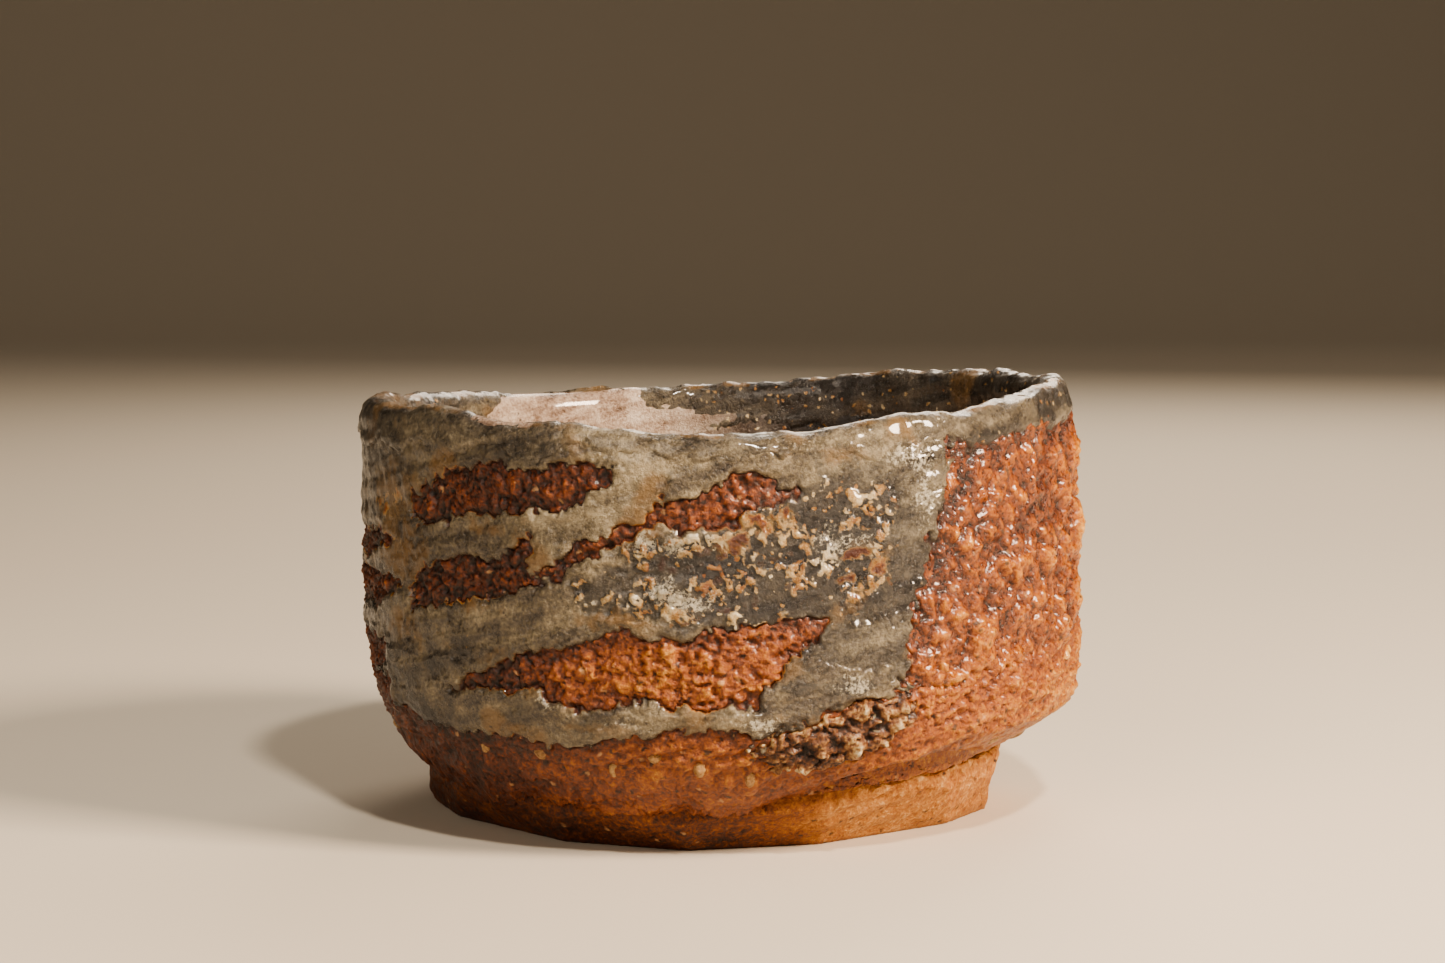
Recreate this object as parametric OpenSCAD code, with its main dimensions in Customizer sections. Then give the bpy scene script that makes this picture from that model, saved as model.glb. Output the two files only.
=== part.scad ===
// Hand-built matcha bowl of coarse red clay, with swept ash glaze and a wide carved foot.
// Millimetres, Z up. The origin is under the middle of the bowl, in the plane that the foot
// rests on, and -Y is the front. Angles run anticlockwise seen from above, from +X: the front
// is at 270.

/* [Body] */
// Widest diameter of the clay
bowl_d = 121.4; // [105:0.1:150]
// Mean height of the lip above the table
bowl_h = 69.6; // [56:0.1:86]
// Thickness of the wall
wall_t = 5.2; // [4.2:0.1:7]
// Thickness of the lip
lip_t = 4.4; // [3.4:0.1:5.6]
// Thickness of the body's floor above the foot
floor_t = 4; // [3:0.1:6]
// How far the wall draws in from its widest point to the lip
draw_in = 1.2; // [0:0.1:3]
// How far the lip leans to the left of the foot
lean = 1.8; // [0:0.1:3]

/* [Hip and well] */
// Height of the rounded hip outside, above the foot
hip_h = 20; // [14:0.5:28]
// Fullness of the hip, where 2 is a quarter ellipse
hip_full = 2.5; // [2:0.1:3.2]
// Height of the curve inside, above the floor
well_h = 20; // [16:0.5:28]
// Fullness of the curve inside
well_full = 2.3; // [2:0.1:3]
// Diameter of the level floor inside
well_d = 62; // [40:1:72]

/* [Lip] */
// Rounding height of the lip
lip_round = 2.2; // [1.5:0.1:3]
// How much higher the lip stands at one side than at the other
tip_rise = 1.7; // [0:0.1:3]
// Direction of the higher side
tip_turn = 350; // [0:5:360]
// How much the lip dips front and back
saddle_rise = 1.7; // [0:0.1:3]
// Direction of the saddle's high line
saddle_turn = 10; // [0:5:180]

/* [Foot] */
// Diameter of the foot
foot_d = 97.6; // [80:0.1:104]
// Height of the foot
foot_h = 11; // [8:0.1:16]
// Diameter of the recess under the foot
recess_d = 68; // [54:0.5:70]
// Depth of the recess under the foot
recess_depth = 5.6; // [4.6:0.1:7]
// Width of the ledge that the body leaves on top of the foot
ledge_w = 1.6; // [0.4:0.1:3]
// How far the foot stands to the left of the bowl's middle
foot_shift = 1.4; // [0:0.1:3]

/* [Glaze] */
// Thickness of the swept glaze, the lip band and the lining
glaze_t = 0.8; // [0.4:0.1:1.4]
// Thickness of the thin clear coat at the right
clear_t = 0.4; // [0.3:0.1:0.8]
// Thickness of the ash crust
crust_t = 2; // [1.2:0.1:3]

/* [Stones] */
// Radius of a large feldspar grain
stone_r = 1.3; // [0.8:0.1:1.6]

/* [Hidden] */

// Finger marks along the lip: direction, half width in degrees, rise
lip_marks = [[221, 8, 1.3], [234, 5, -0.9], [276, 16, -1.2], [299, 7, 1.2], [337, 14, 1.1],
    [135, 22, -0.9], [60, 10, 0.7], [20, 9, -0.5]];
// Pressed dents and raised ridges in the wall: direction, height as a share of the bowl's,
// half width in degrees, half height as a share, push outwards
wall_marks = [[304, 0.72, 6, 0.3, 0.9], [214, 0.7, 7, 0.3, -0.8], [322, 0.5, 6, 0.25, 0.7],
    [340, 0.8, 8, 0.15, -0.7], [284, 0.75, 8, 0.2, -0.5], [245, 0.6, 9, 0.25, 0.4],
    [40, 0.6, 12, 0.25, -0.8], [80, 0.55, 9, 0.2, 0.6], [118, 0.7, 11, 0.2, -0.7],
    [160, 0.6, 8, 0.25, 0.5]];
// Knife cuts round the foot: direction, how deep each cuts into the edge at the table, slant
knife_cuts = [[200, 3.2, 24], [222, 6.6, 42], [250, 6.4, 46], [284, 7.4, 46], [308, 8, 42],
    [330, 4.6, 30], [355, 2.2, 12], [32, 2.6, 14], [66, 2.2, 12], [98, 2.8, 16], [132, 2.2, 12],
    [166, 2.6, 14]];

// Outlines on the front of the bowl, in percent of its radius and of its wall's height.
// The broad bare patch lies between front_low, panel_left and hip_top.
front_low = [[-100, 34], [-82, 31], [-65, 27], [-48, 37], [-31, 44], [28, 48]];
panel_left = [[20, 104], [23, 66], [28, 48], [20, 29]];
panel_right = [[46, 30], [61, 104]];
hip_top = [[-100, 34], [-82, 31], [-65, 27], [-46, 25], [-6, 23], [20, 29], [46, 30]];
hip_low = [[46, 24], [16, 17], [-50, 15], [-74, 19], [-100, 15]];
crust_edge = [[10, 15], [26, 24], [46, 30], [50, 18], [30, 8], [13, 9]];
upper_streak = [[-105, 104], [-31, 104], [-36, 76], [-62, 74], [-105, 70]];
middle_streak = [[-75, 56], [-44, 70], [-46, 63], [-52, 53], [-75, 47]];
slanting_streak = [[-45, 57], [-25, 74], [-11, 81], [16, 86], [13, 82], [0, 76], [-10, 70],
    [-23, 66], [-39, 56]];
// Grains of feldspar: direction, height in percent of the wall's, size as a share of the
// largest. The highest stay below hip_low.
stones = [[228, 9.6, 0.8], [240, 10.6, 1], [252, 7.5, 0.7], [259, 11.2, 0.9], [266, 8.5, 1],
    [274, 6.2, 0.7], [310, 7.2, 0.9], [322, 9.2, 0.8], [341, 6.8, 1], [5, 8.5, 0.8],
    [30, 6.8, 1], [61, 8.9, 0.7], [92, 7.5, 0.9], [127, 8.5, 0.8], [158, 7.2, 1],
    [196, 8.9, 0.9]];

// Grid of the bowl's surface: columns round it, rows up the outside and the inside
columns = 72;
outer_rows = 14;
inner_rows = 11;
row_spread = 1.6;
cap_steps = 4;
// Rows where the glazes begin and end
lip_row = 13;
inner_lip_row = 10;
coat_row = 4;
hip_row = 2;

bowl_r = bowl_d/2;
foot_r = foot_d/2;
base_r = foot_r - ledge_w;
well_r = well_d/2;
floor_z = foot_h + floor_t;
hip_z = foot_h + hip_h;
shoulder_z = bowl_h - lip_round;
wall_h = bowl_h - foot_h;

function sum(values) = values*[for (v = values) 1];
function bell(x) = exp(-x*x);
function turn_gap(a, b) = abs((a - b + 900)%360 - 180);

// Quarter curve from the underside, 0, to the upright wall, 1
function quarter(rise, height, full) = pow(1 - pow(1 - min(rise/height, 1), full), 1/full);
function well_curve(h) = quarter(h - floor_z, well_h, well_full);
function above_hip(h) = pow(max(0, h - hip_z)/(bowl_h - hip_z), 2);
function outer_r(h) = base_r + (bowl_r - base_r)*quarter(h - foot_h, hip_h, hip_full)
    - draw_in*above_hip(h);
function inner_r(h) = well_r + (bowl_r - wall_t - well_r)*well_curve(h)
    + (wall_t - lip_t - draw_in)*above_hip(h);

function lip_lift(a) = tip_rise*cos(a - tip_turn) + saddle_rise*cos(2*(a - saddle_turn))
    + sum([for (m = lip_marks) m[2]*bell(turn_gap(a, m[0])/m[1])]);
function push(h, a) = sum([for (m = wall_marks)
    m[4]*bell(turn_gap(a, m[0])/m[2])*bell((h/bowl_h - m[1])/m[3])]);
function sway(h) = lean*(0.3 - pow(h/bowl_h, 2));
function lifted(h, a) = h + lip_lift(a)*pow(max(0, h - foot_h)/(shoulder_z - foot_h), 3);
// The point at radius r and nominal height h, up to rise above the wall's own place
function place(r, a, h, rise = 0) = [sway(h) + r*cos(a), r*sin(a), lifted(h, a) + rise];

function column_turn(i) = 360*i/columns;
function outer_h(k) = foot_h + (shoulder_z - foot_h)*pow(k/outer_rows, row_spread);
function inner_h(k) = floor_z + (shoulder_z - floor_z)*pow(k/inner_rows, row_spread);

// Rings of points on the clay, or on a coat of thickness t over it
function outer_ring(k, t = 0, first = 0, last = columns - 1) =
    [for (i = [first:last]) let (a = column_turn(i), h = outer_h(k))
        place(outer_r(h) + push(h, a) + t, a, h)];
function inner_ring(k, t = 0) =
    [for (i = [0:columns - 1]) let (a = column_turn(i), h = inner_h(k), c = well_curve(h))
        place(inner_r(h) + push(h, a) - t*c, a, h, t*(1 - c))];
function cap_ring(step, t = 0) =
    [for (i = [0:columns - 1]) let (a = column_turn(i), h = shoulder_z, swing = 180*step/cap_steps,
        out = outer_r(h) + push(h, a), in = inner_r(h) + push(h, a))
        place((out + in)/2 + ((out - in)/2 + t)*cos(swing), a, h, (lip_round + t)*sin(swing))];
function lip_rings(t = 0) = [for (step = [1:cap_steps - 1]) cap_ring(step, t)];

function flat(rings) = [for (ring = rings) each ring];
function turned(faces) = [for (f = faces) [f[0], f[2], f[1]]];
function reversed(v) = [for (i = [len(v) - 1:-1:0]) v[i]];
// Faces between rings p and q, each of m points, across the given number of gaps
function band(p, q, m, gaps) = [for (i = [0:gaps - 1]) let (j = (i + 1)%m)
    each [[p*m + i, q*m + i, q*m + j], [p*m + i, q*m + j, p*m + j]]];

// A solid whose rings go from a point on the axis to another point on the axis
module poled_solid(rings, low, high, inside_out = false) {
    n = len(rings);
    faces = concat([for (k = [0:n - 2]) each band(k, k + 1, columns, columns)],
        [for (i = [0:columns - 1]) let (j = (i + 1)%columns) [n*columns, i, j]],
        [for (i = [0:columns - 1]) let (j = (i + 1)%columns)
            [n*columns + 1, (n - 1)*columns + j, (n - 1)*columns + i]]);
    polyhedron(points = concat(flat(rings), [place(0, 0, foot_h, low - foot_h),
        place(0, 0, foot_h, high - foot_h)]), faces = inside_out ? turned(faces) : faces);
}

// A closed band round the bowl, whose rings go up the clay side and back down the outer side
module looped_band(rings) {
    n = len(rings);
    polyhedron(points = flat(rings),
        faces = turned([for (k = [0:n - 1]) each band(k, (k + 1)%n, columns, columns)]));
}

// A coat on the outside of the clay, between two columns and two rows of the grid
module coat(first, last, low, high, t) {
    rows = high - low + 1;
    m = last - first + 1;
    rings = concat([for (k = [low:high]) outer_ring(k, 0, first, last)],
        [for (k = [high:-1:low]) outer_ring(k, t, first, last)]);
    // The end at point i, between the clay side and the outer side
    end = function (i) [for (k = [0:rows - 2]) let (back = 2*rows - 1 - k)
        each [[k*m + i, (k + 1)*m + i, (back - 1)*m + i],
            [k*m + i, (back - 1)*m + i, back*m + i]]];
    polyhedron(points = flat(rings), faces = concat(
        turned([for (k = [0:2*rows - 1]) each band(k, (k + 1)%(2*rows), m, m - 1)]),
        end(0), turned(end(m - 1))));
}

// An outline on the front, carried through the front half of the bowl
module front_cut(outline) {
    rotate([90, 0, 0])
        linear_extrude(height = 1.3*bowl_r)
            polygon([for (p = outline)
                [p[0]*bowl_r/100, foot_h + p[1]*wall_h/100]]);
}

module clay_body() {
    color("#a5552d")
        poled_solid(concat([for (k = [0:outer_rows]) outer_ring(k)], lip_rings(),
            [for (k = [inner_rows:-1:0]) inner_ring(k)]), foot_h, floor_z);
}

module foot_ring() {
    color("#c07a48")
        translate([-foot_shift, 0, 0])
            difference() {
                cylinder(r = foot_r, h = foot_h, $fn = 120);
                translate([0, 0, -1])
                    cylinder(d = recess_d, h = recess_depth + 1, $fn = 96);
                for (cut = knife_cuts)
                    rotate([0, 0, cut[0]])
                        translate([foot_r - cut[1], 0, 0])
                            rotate([0, cut[2], 0])
                                translate([0, -foot_r, -foot_h])
                                    cube([foot_r, 2*foot_r, 3*foot_h]);
            }
}

module inner_glaze() {
    color("#b5a594")
        poled_solid(concat([for (k = [0:inner_lip_row]) inner_ring(k, glaze_t)],
            [for (k = [inner_lip_row:-1:0]) inner_ring(k)]),
            floor_z + glaze_t, floor_z, inside_out = true);
}

module lip_glaze() {
    clay_side = concat([for (k = [lip_row:outer_rows]) outer_ring(k)], lip_rings(),
        [for (k = [inner_rows:-1:inner_lip_row]) inner_ring(k)]);
    glaze_side = concat([for (k = [lip_row:outer_rows]) outer_ring(k, glaze_t)],
        lip_rings(glaze_t), [for (k = [inner_rows:-1:inner_lip_row]) inner_ring(k, glaze_t)]);
    color("#7f786a")
        looped_band(concat(clay_side, reversed(glaze_side)));
}

module front_glaze() {
    color("#8b8474")
        difference() {
            intersection() {
                coat(43, 58, coat_row, lip_row, glaze_t);
                front_cut(concat(front_low, [panel_left[1], panel_left[0], [-100, 104]]));
            }
            front_cut(upper_streak);
            front_cut(middle_streak);
            front_cut(slanting_streak);
        }
}

module left_glaze() {
    color("#6f6152")
        coat(28, 43, coat_row, lip_row, glaze_t);
}

module right_panel_glaze() {
    color("#5f5c59")
        intersection() {
            coat(54, 62, coat_row, lip_row, glaze_t);
            front_cut(concat(panel_left, panel_right));
        }
}

module hip_glaze() {
    color("#8c857b")
        difference() {
            intersection() {
                coat(43, 61, hip_row, coat_row + 5, glaze_t);
                front_cut(concat(hip_top, hip_low));
            }
            front_cut(crust_edge);
        }
}

module back_glaze() {
    color("#77705f")
        coat(6, 28, coat_row, lip_row, glaze_t);
}

module amber_glaze() {
    color("#c26a35")
        difference() {
            coat(59, 78, coat_row, lip_row, clear_t);
            front_cut(concat(panel_left, panel_right));
            front_cut(concat(hip_top, hip_low));
            front_cut(crust_edge);
        }
}

module ash_crust() {
    color("#b08a58")
        intersection() {
            coat(53, 63, hip_row - 1, coat_row + 4, crust_t);
            front_cut(crust_edge);
        }
}

module feldspar_stones() {
    color("#e2cfae")
        difference() {
            for (s = stones) {
                h = foot_h + s[1]*wall_h/100;
                translate(place(outer_r(h) + push(h, s[0]), s[0], h))
                    sphere(r = stone_r*s[2], $fn = 24);
            }
            clay_body();
        }
}

clay_body();
foot_ring();
inner_glaze();
lip_glaze();
front_glaze();
left_glaze();
right_panel_glaze();
hip_glaze();
back_glaze();
amber_glaze();
ash_crust();
feldspar_stones();
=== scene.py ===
import math

import bpy
import numpy as np
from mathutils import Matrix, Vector


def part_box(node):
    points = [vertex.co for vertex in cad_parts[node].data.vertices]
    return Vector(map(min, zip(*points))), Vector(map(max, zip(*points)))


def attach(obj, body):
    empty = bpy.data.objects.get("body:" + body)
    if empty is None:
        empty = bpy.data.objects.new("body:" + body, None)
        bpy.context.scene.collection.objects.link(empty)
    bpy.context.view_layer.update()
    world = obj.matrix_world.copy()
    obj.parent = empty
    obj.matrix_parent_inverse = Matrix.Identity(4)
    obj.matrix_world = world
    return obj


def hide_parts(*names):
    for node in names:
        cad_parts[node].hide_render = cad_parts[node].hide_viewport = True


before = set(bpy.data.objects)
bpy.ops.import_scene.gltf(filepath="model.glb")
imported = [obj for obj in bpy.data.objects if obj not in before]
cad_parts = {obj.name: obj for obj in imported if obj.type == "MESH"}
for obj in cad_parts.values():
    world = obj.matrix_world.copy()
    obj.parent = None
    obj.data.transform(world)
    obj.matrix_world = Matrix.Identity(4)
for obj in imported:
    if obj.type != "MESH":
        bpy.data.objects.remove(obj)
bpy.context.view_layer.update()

# A hand-built matcha bowl. The CAD clay body gives the form that every skin of clay and glaze
# is shaped on. Shapes are worked out in mm and the meshes are in metres. -Y is the front, and
# turns run anticlockwise seen from above, from +X, so the front is at 270 degrees.

MM = 0.001


def corners(node):
    """The lowest and the highest corner of a CAD node, in mm."""
    return [np.array(corner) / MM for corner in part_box(node)]


BODY_LOW, BODY_HIGH = corners("clay_body")
FOOT_LOW, FOOT_HIGH = corners("foot_ring")
BOWL_R = (BODY_HIGH[0] - BODY_LOW[0]) / 2
FOOT_R = (FOOT_HIGH[0] - FOOT_LOW[0]) / 2
FOOT_X = (FOOT_HIGH[0] + FOOT_LOW[0]) / 2
FOOT_TOP = FOOT_HIGH[2]
WALL_H = BODY_HIGH[2] - FOOT_TOP

# Outlines on the front, in percent of the bowl's radius to the right of its middle and of the
# wall's height above the foot. Bare strokes were wiped through the wet glaze to the clay.
UPPER_STROKE = [(-93, 66), (-91, 72), (-80, 74), (-70, 81), (-54, 82), (-28, 84), (-29, 80),
                (-40, 73), (-60, 71), (-74, 67)]
MIDDLE_STROKE = [(-82, 44), (-80, 52), (-72, 59), (-60, 58), (-48, 65), (-50, 59), (-46, 54),
                 (-55, 50), (-72, 46)]
SLANTING_STROKE = [(-48, 53), (-36, 63), (-22, 70), (-10, 77), (9, 82), (20, 77), (6, 73),
                   (0, 69), (-10, 68), (-16, 71), (-27, 64), (-41, 55)]
BROAD_PATCH = [(-70, 25), (-52, 35), (-26, 42), (-9, 41), (12, 45), (27, 46), (15, 33), (8, 25),
               (-5, 22), (-16, 25), (-26, 24), (-37, 22), (-46, 26)]
# The coats between them. The broad patch's middle line parts the front coat from the hip's.
FRONT_COAT = [(-104, 30), (-104, 108), (24, 108), (26, 66), (32, 44), (18, 40), (-20, 33),
              (-60, 27)]
PANEL_COAT = [(20, 108), (54, 108), (59, 82), (54, 64), (47, 40), (46, 26), (12, 26), (18, 40),
              (28, 46), (22, 66)]
HIP_COAT = [(-104, 36), (-60, 30), (-20, 32), (18, 38), (46, 31), (46, 25), (34, 24), (24, 20),
            (8, 15), (0, 18), (-28, 15), (-44, 12), (-80, 14), (-104, 20)]
RIGHT_SIDE = [(54, 120), (59, 82), (54, 64), (47, 40), (46, 10), (160, 10), (160, 120)]
CRUST_COAT = [(8, 13), (12, 17), (27, 20), (35, 25), (47, 26), (49, 18), (42, 12), (30, 6),
              (14, 6)]
# Where the front's glaze is thin and dark, and where it is thick and pale
DARK_WEDGE = [(-39, 56), (-24, 60), (-15, 53), (-13, 46), (-31, 45), (-40, 48)]
THIN_ZONE = [(-27, 67), (-2, 69), (14, 78), (30, 81), (47, 80), (48, 62), (41, 46), (0, 42),
             (-16, 44), (-24, 56)]
PALE_STRIP = [(46, 92), (54, 92), (59, 82), (54, 64), (47, 40), (38, 42), (44, 62)]

# Where the glaze has run out golden, and where it stands in pale ridges, drawn whiter in part as
# painted highlights: middle, half width and half height in percent, and strength
GOLD_MARKS = [(-84, 57, 9, 9, 1), (-84, 38, 8, 5, 0.8), (-88, 72, 6, 10, 0.9),
              (-66, 47, 10, 3, 0.8), (-62, 68, 7, 2.5, 0.8), (-52, 27, 16, 4, 0.7),
              (-26, 45, 13, 2.4, 1), (6, 70, 18, 2.6, 0.8), (36, 60, 8, 8, 0.4),
              (-30, 18, 22, 2.5, 0.6), (20, 21, 14, 3, 0.5), (-60, 35, 14, 3, 0.5)]
PALE_GLINT_MARKS = [(-20, 65, 5, 4, 1), (-11, 64, 4, 2.5, 1), (-16, 53, 6, 3.5, 1), (-7, 50, 6, 3, 1),
              (20, 88, 26, 5, 0.5), (51, 76, 4, 11, 0.9), (45, 86, 7, 4, 0.6), (-44, 26, 3, 5, 1),
              (-28, 19, 6, 2, 0.7), (8, 20, 10, 3, 0.9), (33, 29, 8, 3, 0.9), (30, 64, 9, 6, 0.8)]

# Strokes wiped round the sides and the back, pointed at both ends: from turn, to turn, height
# at the bowl's middle and half width in mm
SIDE_STROKES = [(166, 208, 64, 2.8), (150, 211, 56, 4), (158, 209, 45, 4), (116, 152, 54, 3.4),
                (72, 120, 44, 4), (40, 86, 56, 3), (30, 62, 38, 3.2)]

# The overhang at the right of the front, where the hip ends above the foot: percent across and
# percent up
LEDGE = [(-24, -4), (-8, -2.5), (5, 1), (26, 3.3), (39, 5.4), (51, 7.3), (60, 8.5), (70, 7),
         (80, 4.5), (100, 3.4)]
LEDGE_SETBACK = 1.2     # how far the foot's side lies behind the ledge, in mm
HIP_CUT = 19            # the height in mm below which the knife drew the right side in
TUCK_BAND = 4.2         # how far above the foot the hip was smoothed down, in mm

SWEEP_TURN = math.radians(16)   # the brush and the thumb climbed to the right across the front
FAR = 99                # stands for a distance in mm that never matters
BACKING = 2.4           # how thick each skin is, most of it hidden inside the clay, in mm
LIP_THICK = 0.65        # how far the lip's glaze stands on the clay, in mm
OUTER = -0.2            # faces of the wall that look out at least this much are its outside
INNER = -0.1            # and those that look out less than this are its inside


# ---- numbers for the surface


def scatter(cells, seed):
    """A number from -1 to 1 for each whole-number cell, the same one in every run."""
    mixed = cells @ np.array([73856093, 19349663, 83492791]) + seed * 977
    mixed = (mixed ^ (mixed >> 13)) * 1274126177
    mixed = (mixed ^ (mixed >> 16)) * 668265263
    return ((mixed >> 8) & 0xFFFF) / 32767.5 - 1


def noise(points, size, seed=0):
    """Smooth noise from about -1 to 1 at points in mm, with swells about size mm apart."""
    spot = points / size
    corner = np.floor(spot).astype(np.int64)
    part = spot - corner
    fade = part**3 * (part * (part * 6 - 15) + 10)
    total = np.zeros(len(points))
    for step in np.ndindex(2, 2, 2):
        here = corner + step
        away = part - step
        lean = sum(scatter(here, seed * 3 + axis) * away[:, axis] for axis in range(3))
        total += lean * np.prod(np.where(step, fade, 1 - fade), axis=1)
    return 1.7 * total


def pebbled(points, size, seed=0):
    """Rounded lumps about size mm across with creases between them, from 0 to about 1."""
    return np.abs(noise(points, size, seed)) + 0.5 * np.abs(noise(points, size / 2, seed + 1))


def beaded(points, size, seed=0, share=1):
    """Round grains about size mm apart, from 0 between them to 1 on top. A share of the
    grains below 1 leaves the others out."""
    spot = points / size
    corner = np.floor(spot).astype(np.int64)
    nearest = np.full(len(points), 9.0)
    for step in np.ndindex(3, 3, 3):
        cell = corner + step - 1
        away = sum((spot[:, axis] - cell[:, axis] - 0.5
                    - 0.4 * scatter(cell, seed * 3 + axis)) ** 2 for axis in range(3))
        if share < 1:
            away = np.where(scatter(cell, seed * 3 + 5) > 2 * share - 1, 9.0, away)
        nearest = np.minimum(nearest, away)
    return np.sqrt(np.clip(1 - nearest / 0.5, 0, 1))


def ease(value, low, high):
    """0 below low, 1 above high and a smooth rise between them."""
    part = np.clip((value - low) / (high - low), 0, 1)
    return part * part * (3 - 2 * part)


def bell(value, middle, width):
    """1 at the middle, fading to nothing about two widths away."""
    return np.exp(-((value - middle) / width) ** 2)


def swept(points):
    """The points with the sweeps of the front laid level."""
    x, y, z = points.T
    return np.stack([x, y, z - math.tan(SWEEP_TURN) * x], axis=1)


def shares(points):
    """Percent of the bowl's radius to the right, and of the wall's height above the foot."""
    return points[:, 0] / BOWL_R * 100, (points[:, 2] - FOOT_TOP) / WALL_H * 100


def inside(points, outline):
    """How many mm each point of the front lies inside an outline; outside is below 0."""
    x, y, z = points.T
    spots = [(u * BOWL_R / 100, FOOT_TOP + v * WALL_H / 100) for u, v in outline]
    nearest = np.full(len(points), float(FAR))
    within = np.zeros(len(points), bool)
    for (ax, az), (bx, bz) in zip(spots, spots[1:] + spots[:1]):
        dx, dz = bx - ax, bz - az
        along = np.clip(((x - ax) * dx + (z - az) * dz) / (dx * dx + dz * dz), 0, 1)
        nearest = np.minimum(nearest, np.hypot(x - ax - along * dx, z - az - along * dz))
        if dz:
            within ^= ((az > z) != (bz > z)) & (x < ax + (z - az) * dx / dz)
    return np.where(y < 0, np.where(within, nearest, -nearest), -FAR)


def around(points, start, stop):
    """How many mm each point lies inside the stretch between two turns, in degrees."""
    turn = np.degrees(np.arctan2(points[:, 1], points[:, 0]))
    gap = np.abs((turn - (start + stop) / 2 + 180) % 360 - 180)
    return np.radians((stop - start) / 2 - gap) * BOWL_R


def above(points, share):
    """How many mm each point lies above a height given in percent of the wall's."""
    return (shares(points)[1] - share) * WALL_H / 100


def ragged(points):
    """The points shaken a little, so that an outline drawn through them tears and beads."""
    moved = points.copy()
    for axis, reach in ((0, 1.4), (2, 1.0)):
        moved[:, axis] += reach * (noise(points, 6.5, 40 + axis) + noise(points, 2.4, 50 + axis)
                                   + 0.75 * noise(points, 1.1, 60 + axis))
    return moved


def front_share(points):
    """1 over the front half, fading to 0 behind it."""
    return ease(-points[:, 1], -25, 5)


def lumps(points):
    """The hand's soft unevenness, which the clay and every skin on it share, in mm."""
    return (0.5 * noise(points, 17, 1) + 0.28 * noise(points, 8, 2)
            + 0.22 * noise(swept(points), np.array([26, 26, 5]), 3))


def marked(points, marks):
    """How strongly a list of soft marks on the front covers each point, from 0 to 1."""
    u, v = shares(ragged(points))
    strength = sum(much * bell(u, across, wide) * bell(v, up, tall)
                   for across, up, wide, tall, much in marks)
    return np.minimum(strength, 1) * (points[:, 1] < 0)


def tucked(points):
    """The points near the foot, moved to where the hand left them: at the front and the left
    the hip is smoothed down onto the foot, and at the right it ends in a crumbling ledge."""
    x, y, z = points.T
    turn = np.degrees(np.arctan2(y, x)) % 360
    reach = np.hypot(x, y)
    wall = FOOT_R + FOOT_X * np.cos(np.radians(turn))
    side = ease(turn, 60, 150) * (1 - ease(turn, 262, 300))
    lower = np.clip((FOOT_TOP + TUCK_BAND - z) / TUCK_BAND, 0, 1) ** 1.2
    drop = (1.0 + 5.4 * side) * lower * ease(reach, FOOT_R - 6, FOOT_R)
    right = np.maximum(ease(turn, 285, 335), 1 - ease(turn, 20, 60))
    pull = 0.95 * np.maximum(HIP_CUT - z, 0) * right
    pull += side * np.maximum(reach - wall + LEDGE_SETBACK, 0) * lower ** 2
    ledge = np.interp(x / BOWL_R * 100, *np.array(LEDGE).T) * WALL_H / 100 + FOOT_TOP
    ledge += 0.35 * noise(points * [1, 1, 0], 5, 74) + 0.25 * noise(points * [1, 1, 0], 2, 75)
    under = ease(ledge - z, -0.4, 0.6) * np.maximum(ease(turn, 262, 280), 1 - ease(turn, 20, 60))
    beyond = np.maximum(reach - wall - LEDGE_SETBACK - 0.12 * (z - FOOT_TOP), 0)
    pull = np.maximum(pull, beyond * under)
    share = (1 - pull * (reach > FOOT_R - 3) / reach.clip(1))[:, None]
    return points * np.where([True, True, False], share, 1) - drop[:, None] * [0, 0, 1]


# ---- where each coat lies
# Each cover says how many mm a point lies inside its coat; outside it is below 0.


def bare_strokes(points):
    """How many mm each point lies inside the strokes wiped down to the clay."""
    torn = ragged(points)
    strokes = [inside(torn, stroke)
               for stroke in (UPPER_STROKE, MIDDLE_STROKE, SLANTING_STROKE, BROAD_PATCH)]
    return np.maximum.reduce(strokes)


def side_strokes(points):
    """How many mm each point of the sides and back lies inside their own wiped strokes."""
    torn = ragged(points)
    height = swept(torn)[:, 2]
    strokes = []
    for start, stop, middle, half in SIDE_STROKES:
        length = math.radians(stop - start) / 2 * BOWL_R
        share = around(torn, start, stop) / length
        strokes.append(half * (1 - (1 - share) ** 2) - np.abs(height - middle))
    return np.maximum.reduce(strokes)


def front_cover(points):
    torn = ragged(points)
    return np.minimum.reduce([around(torn, 211, 300), inside(torn, FRONT_COAT),
                              -bare_strokes(points)])


def left_cover(points):
    torn = ragged(points)
    low = 22 + 5 * noise(points * [1, 1, 0], 16, 70)
    return np.minimum.reduce([around(torn, 134, 214), above(torn, low), -side_strokes(points)])


def seam_sway(points):
    """How far the seam between the clear coat and the back's glaze sways, in mm."""
    return 4 * noise(points * [0, 0, 1], 13, 78) + 0.12 * (points[:, 2] - 40)


def back_cover(points):
    torn = ragged(points)
    low = 24 + 9 * noise(points * [1, 1, 0], 13, 71)
    return np.minimum.reduce([around(torn, 26, 144) + seam_sway(points), above(torn, low),
                              -side_strokes(points)])


def panel_cover(points):
    return np.minimum(inside(ragged(points), PANEL_COAT), -bare_strokes(points))


def hip_cover(points):
    torn = ragged(points)
    return np.minimum.reduce([around(torn, 205, 330), inside(torn, HIP_COAT),
                              -inside(torn, CRUST_COAT), -bare_strokes(points)])


def amber_cover(points):
    torn = ragged(points)
    low = 24 + 10 * ease(shares(points)[0], 50, 100) + 5 * noise(points * [1, 1, 0], 15, 72)
    right = np.where(points[:, 1] < 0, inside(torn, RIGHT_SIDE), FAR)
    return np.minimum.reduce([around(torn, 285, 388) - seam_sway(points), right, above(torn, low),
                              2.5 - lip_cover(points)])


def crust_cover(points):
    return inside(ragged(points), CRUST_COAT)


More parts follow.
